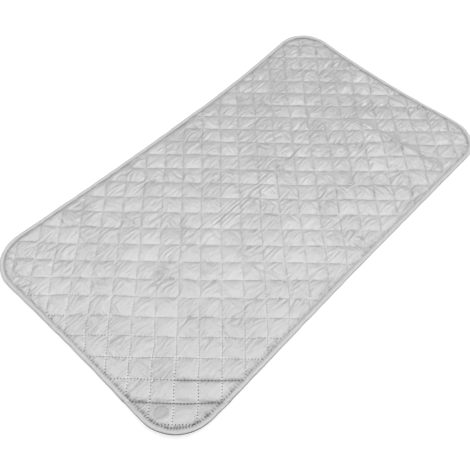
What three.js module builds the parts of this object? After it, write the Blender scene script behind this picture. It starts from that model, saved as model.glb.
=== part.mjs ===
// A quilted magnetic ironing mat lying flat: a crowned, drawn-in pad with a bound edge.
// Millimetres, +Z up, +X along its length. The origin is under its middle, on the table.
import * as THREE from 'three';

// Outline of the mat
const LENGTH = 850;
const WIDTH = 480;
const CORNER_RADIUS = 76;
const LONG_SIDE_DRAW = 8;
const SHORT_SIDE_DRAW = 7;

// Diamond quilting: two families of straight seams, in degrees from +X, and one of their crossings
const QUILT_PITCH = 35;
const QUILT_ANGLE_A = -47.8;
const QUILT_ANGLE_B = 44.1;
const QUILT_CROSSING_X = 1;
const QUILT_CROSSING_Y = -12.2;
const CROWN_HEIGHT = 3.6;

// Layers, from the table up
const BACKING_THICKNESS = 0.5;
const WADDING_THICKNESS = 1.2;
const COVER_SEAM_THICKNESS = 0.8;
const RIM_RAMP = 4;

// Edge binding: cloth folded round the layers
const BINDING_WIDTH = 9;
const BINDING_CLOTH = 0.6;
const BINDING_NOSE = 2;
const BINDING_STITCH_INSET = 7;

// Sewing thread
const THREAD_WIDTH = 0.6;
const THREAD_THICKNESS = 0.25;
const THREAD_TURN_MARGIN = 1.3;
const MITRE_LIMIT = 4;

// Round magnets near the corners, as thick as the wadding
const MAGNET_RADIUS = 10;
const MAGNET_FROM_END = 34;
const MAGNET_FROM_SIDE = 58;
const MAGNET_CLEARANCE = 0.3;
const MAGNET_WALL = 1.5;

// Clearance between layers that lie on each other
const GAP = 0.15;

// Facets
const CORNER_STEPS = 9;
const LONG_SIDE_STEPS = 8;
const SHORT_SIDE_STEPS = 4;
const NOSE_STEPS = 4;
const MAGNET_SIDES = 28;
const BISECTIONS = 40;

// Heights worked out from the layers
const HALF_LENGTH = LENGTH / 2;
const HALF_WIDTH = WIDTH / 2;
const WADDING_BOTTOM = BACKING_THICKNESS + GAP;
const COVER_BOTTOM = WADDING_BOTTOM + WADDING_THICKNESS + GAP;
const SEAM_TOP = COVER_BOTTOM + COVER_SEAM_THICKNESS;
const RIM_BOTTOM = BINDING_CLOTH + GAP;
const RIM_COVER_BOTTOM = RIM_BOTTOM + BACKING_THICKNESS + GAP;
const THREAD_A_BOTTOM = SEAM_TOP + GAP;
const THREAD_B_BOTTOM = THREAD_A_BOTTOM + THREAD_THICKNESS + GAP;
const BINDING_CEILING = THREAD_B_BOTTOM + THREAD_THICKNESS + GAP;
const BINDING_TOP = BINDING_CEILING + BINDING_CLOTH;

// Distances in from the mat's edge
const LAYER_INSET = BINDING_CLOTH + BINDING_NOSE + GAP;
const RIM_INSET = BINDING_WIDTH + GAP;
const MIDDLE_INSET = RIM_INSET + RIM_RAMP;
const WADDING_INSET = MIDDLE_INSET + GAP;
const THREAD_TURN_INSET = LAYER_INSET + THREAD_TURN_MARGIN;

const silverCoating = new THREE.MeshStandardMaterial({ color: 0xcacacb, roughness: 0.5, metalness: 0.35 });
const greyBinding = new THREE.MeshStandardMaterial({ color: 0xc4c4c5, roughness: 0.7, metalness: 0.1 });
const whiteThread = new THREE.MeshStandardMaterial({ color: 0xd6d6d6, roughness: 0.6, metalness: 0 });
const whiteWadding = new THREE.MeshStandardMaterial({ color: 0xeeebe4, roughness: 0.95, metalness: 0 });
const greyBacking = new THREE.MeshStandardMaterial({ color: 0xbdbdbb, roughness: 0.9, metalness: 0 });
const darkMagnet = new THREE.MeshStandardMaterial({ color: 0x4a4a4d, roughness: 0.45, metalness: 0.8 });

// Distance to the mat's edge, below zero inside it. Each side is drawn in between its corners.
function edgeDistance(point) {
  const outX = Math.abs(point.x) + SHORT_SIDE_DRAW * (1 - (point.y / HALF_WIDTH) ** 2);
  const outY = Math.abs(point.y) + LONG_SIDE_DRAW * (1 - (point.x / HALF_LENGTH) ** 2);
  const cornerX = outX - HALF_LENGTH + CORNER_RADIUS;
  const cornerY = outY - HALF_WIDTH + CORNER_RADIUS;
  const beyond = Math.hypot(Math.max(cornerX, 0), Math.max(cornerY, 0));
  return beyond + Math.min(Math.max(cornerX, cornerY), 0) - CORNER_RADIUS;
}

function isInside(point, inset) {
  return edgeDistance(point) < -inset;
}

// The point between an inside and an outside one that lies a given inset from the edge.
function pointOnInset(inside, outside, inset) {
  let near = inside;
  let far = outside;
  for (let step = 0; step < BISECTIONS; step += 1) {
    const middle = near.clone().lerp(far, 0.5);
    if (isInside(middle, inset)) {
      near = middle;
    } else {
      far = middle;
    }
  }
  return near;
}

function directionAt(angle) {
  return new THREE.Vector2(Math.cos(angle), Math.sin(angle));
}

function pointAtAngle(angle, inset) {
  return pointOnInset(new THREE.Vector2(0, 0), directionAt(angle).multiplyScalar(LENGTH), inset);
}

// Directions from the middle to the points of the outline: close together round the corners.
function outlineAngles() {
  const cornerX = HALF_LENGTH - CORNER_RADIUS;
  const cornerY = HALF_WIDTH - CORNER_RADIUS;
  const quarter = [];
  for (let k = 1; k < SHORT_SIDE_STEPS; k += 1) {
    quarter.push(Math.atan2((cornerY * k) / SHORT_SIDE_STEPS, HALF_LENGTH));
  }
  for (let k = 0; k <= CORNER_STEPS; k += 1) {
    const turn = (Math.PI / 2) * (k / CORNER_STEPS);
    const x = cornerX + CORNER_RADIUS * Math.cos(turn);
    const y = cornerY + CORNER_RADIUS * Math.sin(turn);
    quarter.push(Math.atan2(y, x));
  }
  for (let k = LONG_SIDE_STEPS - 1; k > 0; k -= 1) {
    quarter.push(Math.atan2(HALF_WIDTH, (cornerX * k) / LONG_SIDE_STEPS));
  }
  const mirrored = quarter.map((angle) => Math.PI - angle).reverse();
  const half = [0, ...quarter, Math.PI / 2, ...mirrored];
  return [...half, ...half.map((angle) => angle + Math.PI)];
}

const OUTLINE_ANGLES = outlineAngles();

function loopAt(inset, height) {
  return OUTLINE_ANGLES.map((angle) => {
    const point = pointAtAngle(angle, inset);
    return new THREE.Vector3(point.x, point.y, height);
  });
}

function flat(points) {
  return points.map((point) => new THREE.Vector2(point.x, point.y));
}

// Skin between two loops of as many points each, facing out where the loops run up and outwards first.
function bandFaces(from, to) {
  return from.flatMap((point, k) => {
    const next = (k + 1) % from.length;
    return [point, from[next], to[next], point, to[next], to[k]];
  });
}

// Upward skin between an outer and an inner loop whose points are both in order of angle.
function zipFaces(outer, inner) {
  const turnOf = (loop, k) => {
    const { x, y } = loop[k % loop.length];
    return new THREE.Vector2(x, y).angle() + (k < loop.length ? 0 : 2 * Math.PI);
  };
  const faces = [];
  let o = 0;
  let i = 0;
  while (o < outer.length || i < inner.length) {
    const here = outer[o % outer.length];
    const across = inner[i % inner.length];
    const outerIsNext = turnOf(outer, o + 1) < turnOf(inner, i + 1);
    if (i === inner.length || (o < outer.length && outerIsNext)) {
      o += 1;
      faces.push(here, outer[o % outer.length], across);
    } else {
      i += 1;
      faces.push(here, inner[i % inner.length], across);
    }
  }
  return faces;
}

function capFaces(loop, facesUp) {
  return THREE.ShapeUtils.triangulateShape(flat(loop), []).flatMap((corners) => {
    const [a, b, c] = corners.map((k) => loop[k]);
    return facesUp ? [a, b, c] : [a, c, b];
  });
}

function geometryOf(faces) {
  const geometry = new THREE.BufferGeometry().setFromPoints(faces);
  geometry.computeVertexNormals();
  return geometry;
}

function piece(name, geometry, material) {
  const mesh = new THREE.Mesh(geometry, material);
  mesh.name = name;
  return mesh;
}

// Quilting seams. Family A runs along angle A, one step of B apart, and family B the other way about.
const ALONG_A = directionAt(THREE.MathUtils.degToRad(QUILT_ANGLE_A));
const ALONG_B = directionAt(THREE.MathUtils.degToRad(QUILT_ANGLE_B));
const CROSSING_STEP = QUILT_PITCH / ALONG_A.cross(ALONG_B);
const SEAM_REACH = Math.ceil(Math.hypot(LENGTH, WIDTH) / QUILT_PITCH);

function crossing(a, b) {
  const start = new THREE.Vector2(QUILT_CROSSING_X, QUILT_CROSSING_Y);
  return start.addScaledVector(ALONG_A, a * CROSSING_STEP).addScaledVector(ALONG_B, b * CROSSING_STEP);
}

// The part of one diamond that shows inside the binding, and which of its points are on the binding.
function clippedDiamond(a, b) {
  const corners = [crossing(a, b), crossing(a + 1, b), crossing(a + 1, b + 1), crossing(a, b + 1)];
  const inside = corners.map((corner) => isInside(corner, RIM_INSET));
  const outline = [];
  const onBinding = [];
  corners.forEach((corner, k) => {
    const next = (k + 1) % corners.length;
    if (inside[k]) {
      outline.push(corner);
    }
    if (inside[k] && !inside[next]) {
      const leaves = pointOnInset(corner, corners[next], RIM_INSET);
      outline.push(leaves);
      onBinding.push(leaves);
    }
    if (!inside[k] && inside[next]) {
      const enters = pointOnInset(corners[next], corner, RIM_INSET);
      outline.push(enters);
      onBinding.push(enters);
    }
  });
  return { outline, onBinding };
}

// How far a point inside a convex outline is from its nearest edge.
function distanceToEdges(point, outline) {
  const distances = outline.map((corner, k) => {
    const edge = outline[(k + 1) % outline.length].clone().sub(corner);
    return edge.normalize().cross(point.clone().sub(corner));
  });
  return Math.min(...distances);
}

function middleOf(outline) {
  const middle = new THREE.Vector2();
  let doubleArea = 0;
  outline.forEach((corner, k) => {
    const next = outline[(k + 1) % outline.length];
    const weight = corner.cross(next);
    doubleArea += weight;
    middle.addScaledVector(corner, weight).addScaledVector(next, weight);
  });
  return middle.divideScalar(3 * doubleArea);
}

function quiltedDiamonds() {
  const diamonds = [];
  for (let a = -SEAM_REACH; a < SEAM_REACH; a += 1) {
    for (let b = -SEAM_REACH; b < SEAM_REACH; b += 1) {
      const { outline, onBinding } = clippedDiamond(a, b);
      if (outline.length > 2) {
        const middle = middleOf(outline);
        const room = distanceToEdges(middle, outline);
        diamonds.push({ outline, onBinding, middle, room });
      }
    }
  }
  return diamonds;
}

const DIAMONDS = quiltedDiamonds();

// Silver-coated cloth and the loft it holds: a crown on each diamond, and its edge under the binding.
function topCover() {
  const crownPerRoom = CROWN_HEIGHT / (QUILT_PITCH / 2);
  const lift = (point, height) => new THREE.Vector3(point.x, point.y, height);
  const crowns = DIAMONDS.flatMap(({ outline, middle, room }) => {
    const peak = lift(middle, SEAM_TOP + Math.min(CROWN_HEIGHT, room * crownPerRoom));
    return outline.flatMap((corner, k) => {
      const next = outline[(k + 1) % outline.length];
      return [lift(corner, SEAM_TOP), lift(next, SEAM_TOP), peak];
    });
  });
  const metOnce = new Map();
  DIAMONDS.flatMap((diamond) => diamond.onBinding).forEach((point) => {
    metOnce.set(`${point.x} ${point.y}`, point);
  });
  const quiltEdge = [...metOnce.values()].sort((p, q) => p.angle() - q.angle());
  const middleBottom = loopAt(MIDDLE_INSET, COVER_BOTTOM);
  const rimBottom = loopAt(RIM_INSET, RIM_COVER_BOTTOM);
  const edgeBottom = loopAt(LAYER_INSET, RIM_COVER_BOTTOM);
  const edgeTop = loopAt(LAYER_INSET, SEAM_TOP);
  return geometryOf([
    ...capFaces(middleBottom, false),
    ...bandFaces(middleBottom, rimBottom),
    ...bandFaces(rimBottom, edgeBottom),
    ...bandFaces(edgeBottom, edgeTop),
    ...zipFaces(edgeTop, quiltEdge.map((point) => lift(point, SEAM_TOP))),
    ...crowns,
  ]);
}

// Plain cloth on the table, whose rim climbs onto the binding's lower fold.
function backingCloth() {
  const loops = [
    loopAt(MIDDLE_INSET, 0),
    loopAt(RIM_INSET, RIM_BOTTOM),
    loopAt(LAYER_INSET, RIM_BOTTOM),
    loopAt(LAYER_INSET, RIM_BOTTOM + BACKING_THICKNESS),
    loopAt(RIM_INSET, RIM_BOTTOM + BACKING_THICKNESS),
    loopAt(MIDDLE_INSET, BACKING_THICKNESS),
  ];
  const bands = loops.slice(1).flatMap((loop, k) => bandFaces(loops[k], loop));
  return geometryOf([...capFaces(loops[0], false), ...bands, ...capFaces(loops.at(-1), true)]);
}

// Closed ring round the mat with the given section, as pairs of inset and height.
function ringOf(section) {
  const loops = section.map(([inset, height]) => loopAt(inset, height));
  return geometryOf(loops.flatMap((loop, k) => bandFaces(loop, loops[(k + 1) % loops.length])));
}

function edgeBinding() {
  const fold = [...Array(NOSE_STEPS + 1).keys()].map((k) => Math.PI * (k / NOSE_STEPS - 0.5));
  const foldPoints = (inset, low, high) =>
    fold.map((turn) => [
      inset + BINDING_NOSE * (1 - Math.cos(turn)),
      low + ((high - low) * (1 + Math.sin(turn))) / 2,
    ]);
  return ringOf([
    [BINDING_WIDTH, 0],
    ...foldPoints(0, 0, BINDING_TOP),
    [BINDING_WIDTH, BINDING_TOP],
    [BINDING_WIDTH, BINDING_CEILING],
    ...foldPoints(BINDING_CLOTH, BINDING_CLOTH, BINDING_CEILING).reverse(),
    [BINDING_WIDTH, BINDING_CLOTH],
  ]);
}

function bindingThread() {
  const outer = BINDING_STITCH_INSET - THREAD_WIDTH / 2;
  const inner = BINDING_STITCH_INSET + THREAD_WIDTH / 2;
  const bottom = BINDING_TOP + GAP;
  const top = bottom + THREAD_THICKNESS;
  return ringOf([[inner, bottom], [outer, bottom], [outer, top], [inner, top]]);
}

// Both ends of the seam that passes through a point, under the binding, or nothing outside the mat.
function seamEnds(through, along) {
  const steps = [...Array(4 * SEAM_REACH + 1).keys()].map((k) => (k / 2 - SEAM_REACH) * QUILT_PITCH);
  const places = steps.map((step) => through.clone().addScaledVector(along, step));
  const first = places.findIndex((place) => isInside(place, RIM_INSET));
  const last = places.findLastIndex((place) => isInside(place, RIM_INSET));
  if (first < 0) {
    return [];
  }
  return [
    pointOnInset(places[first], places[first].clone().addScaledVector(along, -LENGTH), THREAD_TURN_INSET),
    pointOnInset(places[last], places[last].clone().addScaledVector(along, LENGTH), THREAD_TURN_INSET),
  ];
}

// One thread sews a whole family: to and fro along its seams, turning under the binding.
function quiltingPath(along, across) {
  const path = [];
  const start = crossing(0, 0);
  for (let k = -SEAM_REACH; k <= SEAM_REACH; k += 1) {
    const ends = seamEnds(start.clone().addScaledVector(across, k * CROSSING_STEP), along);
    if (ends.length > 0) {
      const seam = k % 2 === 0 ? ends : ends.reverse();
      if (path.length > 0) {
        path.push(turnBetween(path.at(-1), seam[0]));
      }
      path.push(...seam);
    }
  }
  return path;
}

function turnBetween(leaves, enters) {
  const halfway = leaves.clone().add(enters);
  return pointAtAngle(halfway.angle(), THREAD_TURN_INSET);
}

function ribbonShape(path) {
  const sides = [[], []];
  path.forEach((point, k) => {
    const before = point.clone().sub(path[Math.max(k - 1, 0)]).normalize();
    const after = path[Math.min(k + 1, path.length - 1)].clone().sub(point).normalize();
    const normal = before.clone().add(after).normalize();
    normal.set(-normal.y, normal.x);
    const leftOf = new THREE.Vector2(-after.y, after.x);
    const straight = before.lengthSq() === 0 || after.lengthSq() === 0;
    const mitre = straight ? 1 : Math.min(1 / normal.dot(leftOf), MITRE_LIMIT);
    const offset = normal.multiplyScalar((mitre * THREAD_WIDTH) / 2);
    sides[0].push(point.clone().sub(offset));
    sides[1].push(point.clone().add(offset));
  });
  return new THREE.Shape([...sides[0], ...sides[1].reverse()]);
}

function quiltingThread(name, along, across, bottom) {
  const shape = ribbonShape(quiltingPath(along, across));
  const geometry = new THREE.ExtrudeGeometry(shape, { depth: THREAD_THICKNESS, bevelEnabled: false });
  const thread = piece(name, geometry, whiteThread);
  thread.position.z = bottom;
  return thread;
}

// A magnet lies in the roomy diamond nearest its place, clear of the seams and of the wadding's rim.
function magnetPlace(towardsX, towardsY) {
  const wanted = new THREE.Vector2(
    towardsX * (HALF_LENGTH - MAGNET_FROM_END),
    towardsY * (HALF_WIDTH - MAGNET_FROM_SIDE),
  );
  const shortOf = ({ middle, room }) => {
    const rimRoom = -edgeDistance(middle) - WADDING_INSET - MAGNET_WALL;
    return Math.max(MAGNET_RADIUS + MAGNET_CLEARANCE - Math.min(room, rimRoom), 0);
  };
  const cost = (diamond) => diamond.middle.distanceTo(wanted) + LENGTH * shortOf(diamond);
  return DIAMONDS.reduce((best, diamond) => (cost(diamond) < cost(best) ? diamond : best)).middle;
}

const MAGNETS = [
  { name: 'magnet_front_left', place: magnetPlace(-1, -1) },
  { name: 'magnet_front_right', place: magnetPlace(1, -1) },
  { name: 'magnet_rear_left', place: magnetPlace(-1, 1) },
  { name: 'magnet_rear_right', place: magnetPlace(1, 1) },
];

function wadding() {
  const sheet = new THREE.Shape(flat(loopAt(WADDING_INSET, 0)));
  sheet.holes = MAGNETS.map(({ place }) =>
    new THREE.Path().absarc(place.x, place.y, MAGNET_RADIUS + MAGNET_CLEARANCE, 0, 2 * Math.PI));
  const options = { depth: WADDING_THICKNESS, bevelEnabled: false, curveSegments: MAGNET_SIDES };
  const mesh = piece('wadding', new THREE.ExtrudeGeometry(sheet, options), whiteWadding);
  mesh.position.z = WADDING_BOTTOM;
  return mesh;
}

function magnet({ name, place }) {
  const disc = new THREE.CylinderGeometry(MAGNET_RADIUS, MAGNET_RADIUS, WADDING_THICKNESS, MAGNET_SIDES);
  const mesh = piece(name, disc.rotateX(Math.PI / 2), darkMagnet);
  mesh.position.set(place.x, place.y, WADDING_BOTTOM + WADDING_THICKNESS / 2);
  return mesh;
}

const mat = new THREE.Group();
mat.add(piece('backing_cloth', backingCloth(), greyBacking));
mat.add(wadding());
mat.add(...MAGNETS.map(magnet));
mat.add(piece('top_cover', topCover(), silverCoating));
mat.add(quiltingThread('quilting_thread_a', ALONG_A, ALONG_B, THREAD_A_BOTTOM));
mat.add(quiltingThread('quilting_thread_b', ALONG_B, ALONG_A, THREAD_B_BOTTOM));
mat.add(piece('edge_binding', edgeBinding(), greyBinding));
mat.add(piece('binding_thread', bindingThread(), whiteThread));

export default mat;
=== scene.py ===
"""A quilted ironing pad lying on a pale floor: its cloth, wadding, threads, binding and light.

Metres, +Z up, +X along the pad. The origin is under the pad's middle, on the floor.
"""
import math

import bpy
import numpy as np
from mathutils import Matrix, Vector
from mathutils.bvhtree import BVHTree
from mathutils.geometry import delaunay_2d_cdt
from mathutils.kdtree import KDTree


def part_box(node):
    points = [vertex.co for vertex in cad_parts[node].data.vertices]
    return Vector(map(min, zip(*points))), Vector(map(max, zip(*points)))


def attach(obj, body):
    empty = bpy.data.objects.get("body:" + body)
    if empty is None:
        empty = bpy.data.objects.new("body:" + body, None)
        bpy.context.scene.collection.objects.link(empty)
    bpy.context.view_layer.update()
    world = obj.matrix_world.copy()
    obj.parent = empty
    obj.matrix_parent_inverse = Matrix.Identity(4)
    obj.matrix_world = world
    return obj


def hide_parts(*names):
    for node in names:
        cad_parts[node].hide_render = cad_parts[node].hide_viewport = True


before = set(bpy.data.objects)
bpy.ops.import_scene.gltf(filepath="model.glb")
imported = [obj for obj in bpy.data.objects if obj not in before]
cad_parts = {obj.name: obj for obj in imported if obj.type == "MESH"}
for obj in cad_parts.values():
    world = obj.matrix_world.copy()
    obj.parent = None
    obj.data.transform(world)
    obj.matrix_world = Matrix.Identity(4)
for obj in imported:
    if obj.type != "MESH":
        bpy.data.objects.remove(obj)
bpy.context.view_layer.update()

# Outline of the pad
LENGTH = 0.850
WIDTH = 0.480
CORNER_RADIUS = 0.076
LONG_SIDE_DRAW = 0.008
SHORT_SIDE_DRAW = 0.007
HALF_LENGTH = LENGTH / 2
HALF_WIDTH = WIDTH / 2
OUTLINE_RAYS = 4096
PLACES_PER_COLUMN = 4
SAME_PLACE = 1e-7
BISECTIONS = 40

# Diamond quilting: two families of seams and one of their crossings
QUILT_PITCH = 0.035
QUILT_ANGLE_A = math.radians(-47.8)
QUILT_ANGLE_B = math.radians(44.1)
QUILT_CROSSING = np.array([0.001, -0.0122])
ALONG_A = np.array([math.cos(QUILT_ANGLE_A), math.sin(QUILT_ANGLE_A)])
ALONG_B = np.array([math.cos(QUILT_ANGLE_B), math.sin(QUILT_ANGLE_B)])
CELL_SIDE = QUILT_PITCH / math.sin(QUILT_ANGLE_B - QUILT_ANGLE_A)
CELLS_EACH_WAY = 19
STITCHES_PER_CELL = 7
STITCH = CELL_SIDE / STITCHES_PER_CELL
STEPS_PER_CELL = 14
SEAM_DRIFT = 0.0005
DRIFT_WAVES = (0.05, 0.12)
DRIFT_INSETS = (0.010, 0.040)

# Places where the seams are pulled aside: middle, reach and pull
SEAM_PULLS = (
    ((-0.36, 0.03), 0.09, (-0.0003, 0.0042)),
    ((-0.08, -0.20), 0.10, (0.0042, -0.0010)),
    ((0.32, -0.03), 0.09, (-0.0030, 0.0012)),
    ((0.10, -0.02), 0.10, (-0.0018, -0.0028)),
    ((-0.30, 0.13), 0.06, (-0.0022, 0.0)),
    ((-0.375, -0.185), 0.05, (-0.0016, -0.0015)),
)

# Heights of the layers
SEAM_TOP = 0.0028
LOFT = 0.0026
LOFT_POWER = 2.6
PUFF_MEAN = 0.62
PUFF_SLOPE = 0.62
PUFF_LEAST = 0.12
LOFT_SOFT_LIMIT = 0.0030
LOFT_SOFTNESS = 0.0016
SEAM_DIP = 0.00018
NEEDLE_DIP = 0.0006
# Size of the painted shade in the quilting's needle holes
HOLE_RADIUS = 0.0006
HOLE_REACH = 0.0012
COVER_CLOTH = 0.0003
RIM_TOP = 0.0023
BACKING_CLOTH = 0.0004
BACKING_SEAM_LIFT = 0.0009
BACKING_RIM_LIFT = 0.0008
LAYER_GAP = 0.0002
THINNEST_WADDING = 0.0001

# Edge binding
BINDING_WIDTH = 0.009
BINDING_TOP = 0.00435
BINDING_CLOTH = 0.0005
BINDING_STITCH_INSET = 0.0081
BINDING_STITCH = 0.005
COLUMNS_PER_STITCH = 4
LAYER_INSET = 0.00275
WADDING_INSET = 0.0133

# Sewing thread
THREAD_RADIUS = 0.0003
THREAD_SIDES = 4
THREAD_TIP = 0.6
THREAD_RINGS = np.array([0.18, 0.34, 0.5, 0.66, 0.82])
THREAD_ARCH = np.array([-0.0003, 0.00015, 0.00022, 0.00015, -0.0003])
THREAD_END_INSET = 0.0085

# Magnets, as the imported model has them
MAGNET_NODES = ("magnet_front_left", "magnet_front_right", "magnet_rear_left", "magnet_rear_right")
MAGNET_SIDES = 64
MAGNET_BEVEL = 0.0002
IMPRINT_RADIUS = 0.0112
IMPRINT_SKIRT = 0.0036
IMPRINT_SOFT = 0.0008
FURROW_REACH = 0.0009
IMPRINT_HEIGHT = 0.0020
IMPRINT_FURROWS = (0.0009, 0.0002, 0.0003, 0.0002)
# Painted shade on the cloth over each magnet, one value per magnet
IMPRINT_SHADES = (0.18, 0.0, 0.03, 0.0)
IMPRINT_RINGS = (0.0035, 0.0070, 0.0095, 0.0108, 0.0118, 0.0128, 0.0140)
IMPRINT_STEP = 0.0019

# How the whole pad lies: where each corner has moved along, across and up
CORNER_MOVES = (
    ((-1, -1), (-0.0014, 0.0031, 0.0085)),
    ((1, -1), (-0.0053, 0.0053, 0.0)),
    ((-1, 1), (0.0045, -0.0045, 0.0078)),
    ((1, 1), (0.0115, 0.0098, 0.0123)),
)
MOVE_REACH = 0.35
SWELL_HEIGHT = 0.0003
SWELL_WAVES = (0.16, 0.40, 8)
FAR_SHARES = (0.65, 0.35)

# Folds left from its box: middle, half length, direction, height, reach of the left and right flanks
FOLDS = (
    ((0.03, 0.005), 0.17, 0.0, 0.0009, 0.006, 0.006),
    ((-0.266, 0.165), 0.085, math.pi / 2, 0.0022, 0.009, 0.022),
    ((0.281, -0.115), 0.12, math.pi / 2, 0.0065, 0.045, 0.012),
)

# Seams that the near left corner folds at: number, start in cells, dip and reach
CORNER_SEAMS = ((-11, -20, 0.0013, 0.0022), (-10, -4, 0.0009, 0.0025), (-11, -20, 0.0012, 0.0110))
SHADED_SEAMS = CORNER_SEAMS[:2]
CORNER_TILT = 0.07
FOLD_START = 0.2
# Painted shadow inside the seams that the near left corner folds at
FOLD_SHADE = 0.52
FOLD_SHADE_REACH = 0.0014
FOLD_SHADE_START = 0.1
# Painted highlight beside the seams, stronger towards the near left end
SEAM_HIGHLIGHTS = (0.20, 0.15)
SEAM_HIGHLIGHT_REACH = 0.0015
SEAM_HIGHLIGHT_FAR = 0.3
SEAM_HIGHLIGHT_SLOPES = (-0.05, 0.5)
SEAM_HIGHLIGHT_INSETS = (0.012, 0.020)
FOLD_MARK_REACH = 0.020
FOLD_MARK_PITCH = 0.0075
FOLD_MARK_FADE = 0.6
FOLD_MARK_SHARES = (0.8, 0.3)
FOLD_MARK_WAVES = (0.08, 0.20)

# Camera: the photograph's viewing angle
CAMERA_EYE = Vector((-0.5616, -0.4668, 0.8871))
CAMERA_AIM = Vector((-0.0892, -0.0353, 0.0025))
CAMERA_ROLL = math.radians(0.597)
CAMERA_LENS = 48.25
SENSOR = 36.0


def inset_of(xy):
    """How far places lie in from the pad's edge. Each side is drawn in between its corners."""
    x = np.abs(xy[..., 0])
    y = np.abs(xy[..., 1])
    corner_x = x + SHORT_SIDE_DRAW * (1 - (y / HALF_WIDTH) ** 2) - HALF_LENGTH + CORNER_RADIUS
    corner_y = y + LONG_SIDE_DRAW * (1 - (x / HALF_LENGTH) ** 2) - HALF_WIDTH + CORNER_RADIUS
    beyond = np.hypot(np.maximum(corner_x, 0), np.maximum(corner_y, 0))
    return CORNER_RADIUS - (beyond + np.minimum(np.maximum(corner_x, corner_y), 0))


def circle(count):
    """Directions at equal steps all the way round."""
    turns = 2 * math.pi * np.arange(count) / count
    return np.stack([np.cos(turns), np.sin(turns)], -1)


def edge_loop():
    """Points close together all round the pad's edge."""
    rays = circle(OUTLINE_RAYS)
    near = np.zeros(OUTLINE_RAYS)
    far = np.full(OUTLINE_RAYS, LENGTH)
    for _ in range(BISECTIONS):
        middle = (near + far) / 2
        inside = inset_of(rays * middle[:, None]) > 0
        near = np.where(inside, middle, near)
        far = np.where(inside, far, middle)
    return rays * near[:, None]


def evenly_spaced(loop, count):
    """Count points at equal steps round a closed loop, and the directions from them into the pad."""
    closed = np.vstack([loop, loop[:1]])
    run = np.concatenate([[0], np.cumsum(np.linalg.norm(np.diff(closed, axis=0), axis=1))])
    places = np.linspace(0, run[-1], count, endpoint=False)
    points = np.stack([np.interp(places, run, closed[:, axis]) for axis in (0, 1)], -1)
    forward = np.roll(points, -1, axis=0) - np.roll(points, 1, axis=0)
    inward = np.stack([-forward[:, 1], forward[:, 0]], -1)
    return points, inward / np.linalg.norm(inward, axis=1)[:, None]


EDGE = edge_loop()
EDGE_LENGTH = np.linalg.norm(np.diff(np.vstack([EDGE, EDGE[:1]]), axis=0), axis=1).sum()
BINDING_STITCHES = round(EDGE_LENGTH / BINDING_STITCH)
EDGE_COLUMNS = BINDING_STITCHES * COLUMNS_PER_STITCH
EDGE_POINTS, EDGE_INWARD = evenly_spaced(EDGE, EDGE_COLUMNS)


def waves(xy, seed, shortest, longest, count=24):
    """A smooth random field over the pad, with a spread of about 1."""
    draw = np.random.default_rng(seed)
    field = np.zeros(len(xy))
    for _ in range(count):
        turn = draw.uniform(0, 2 * math.pi)
        rate = 2 * math.pi / draw.uniform(shortest, longest)
        along = xy[:, 0] * math.cos(turn) + xy[:, 1] * math.sin(turn)
        field += np.sin(rate * along + draw.uniform(0, 2 * math.pi))
    return field * math.sqrt(2 / count)


def edge_waves(share, seed, shortest, longest, count=24):
    """A smooth random field round the edge, where share runs from 0 to 1 and joins up with itself."""
    draw = np.random.default_rng(seed)
    field = np.zeros(len(share))
    for _ in range(count):
        turns = round(EDGE_LENGTH / draw.uniform(shortest, longest))
        field += np.sin(2 * math.pi * turns * share + draw.uniform(0, 2 * math.pi))
    return field * math.sqrt(2 / count)


def smooth_step(value, start, end):
    """From 0 at start to 1 at end, level at both."""
    share = np.clip((value - start) / (end - start), 0, 1)
    return share * share * (3 - 2 * share)


def bell(away, reach):
    """From 1 in the middle to 0 well beyond the reach."""
    return np.exp(-(away / reach) ** 2)


def hump(along, half):
    """From 1 in the middle to 0 at both ends."""
    return np.clip(1 - (along / half) ** 2, 0, 1)


def distance_to(xy, middle):
    """Distance in plan from each place to a middle."""
    return np.linalg.norm(xy - np.array(middle)[:2], axis=1)


def drift(xy):
    """How far the seams wander sideways from their straight lines."""
    hold = smooth_step(inset_of(xy), *DRIFT_INSETS)[:, None]
    wander = SEAM_DRIFT * np.stack([waves(xy, 11, *DRIFT_WAVES), waves(xy, 12, *DRIFT_WAVES)], -1)
    for middle, reach, pull in SEAM_PULLS:
        wander += bell(distance_to(xy, middle), reach)[:, None] * np.array(pull)
    return hold * wander


def along_and_across(xy, middle, turn):
    """Places along a line through the middle, and to the left of it."""
    offset = xy - np.array(middle)
    along = offset[:, 0] * math.cos(turn) + offset[:, 1] * math.sin(turn)
    across = offset[:, 1] * math.cos(turn) - offset[:, 0] * math.sin(turn)
    return along, across


def folds(xy):
    """Heights of the folds, and of the near left corner, which bends up at the seams that cross it."""
    height = np.zeros(len(xy))
    for middle, half, turn, top, left, right in FOLDS:
        along, across = along_and_across(xy, middle, turn)
        flank = bell(across, np.where(across > 0, left, right))
        height += top * flank * hump(along, half)
    for seam, start, dip, reach in CORNER_SEAMS:
        height -= dip * seam_fold(xy, seam, start, reach, FOLD_START)
    tip = np.maximum(CORNER_SEAMS[0][0] - quilt_places(xy)[:, 1], 0) * QUILT_PITCH
    return height + CORNER_TILT * tip


def seam_fold(xy, seam, start, reach, fade):
    """1 along a seam from its start on, falling to 0 on both sides of it."""
    place_on_seam, seam_number = quilt_places(xy).T
    away = (seam_number - seam) * QUILT_PITCH
    return bell(away, reach) * smooth_step(place_on_seam, start - 2 * fade, start + fade)


def fold_marks(xy, turn):
    """How much the cloth is creased by the folds that run in one direction."""
    field = np.zeros(len(xy))
    for middle, half, fold_turn, *_ in FOLDS:
        if fold_turn == turn:
            along, across = along_and_across(xy, middle, turn)
            ends = smooth_step(np.abs(along), half, FOLD_MARK_FADE * half)
            field += bell(across, FOLD_MARK_REACH) * ends
    mean, spread = FOLD_MARK_SHARES
    return field * np.clip(mean + spread * waves(xy, 23, *FOLD_MARK_WAVES), 0, 1)


def fold_shadow(xy):
    """Painted shadow inside the seams that the near left corner folds at."""
    return FOLD_SHADE * sum(seam_fold(xy, seam, start, FOLD_SHADE_REACH, FOLD_SHADE_START)
                            for seam, start, _, _ in SHADED_SEAMS)


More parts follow.
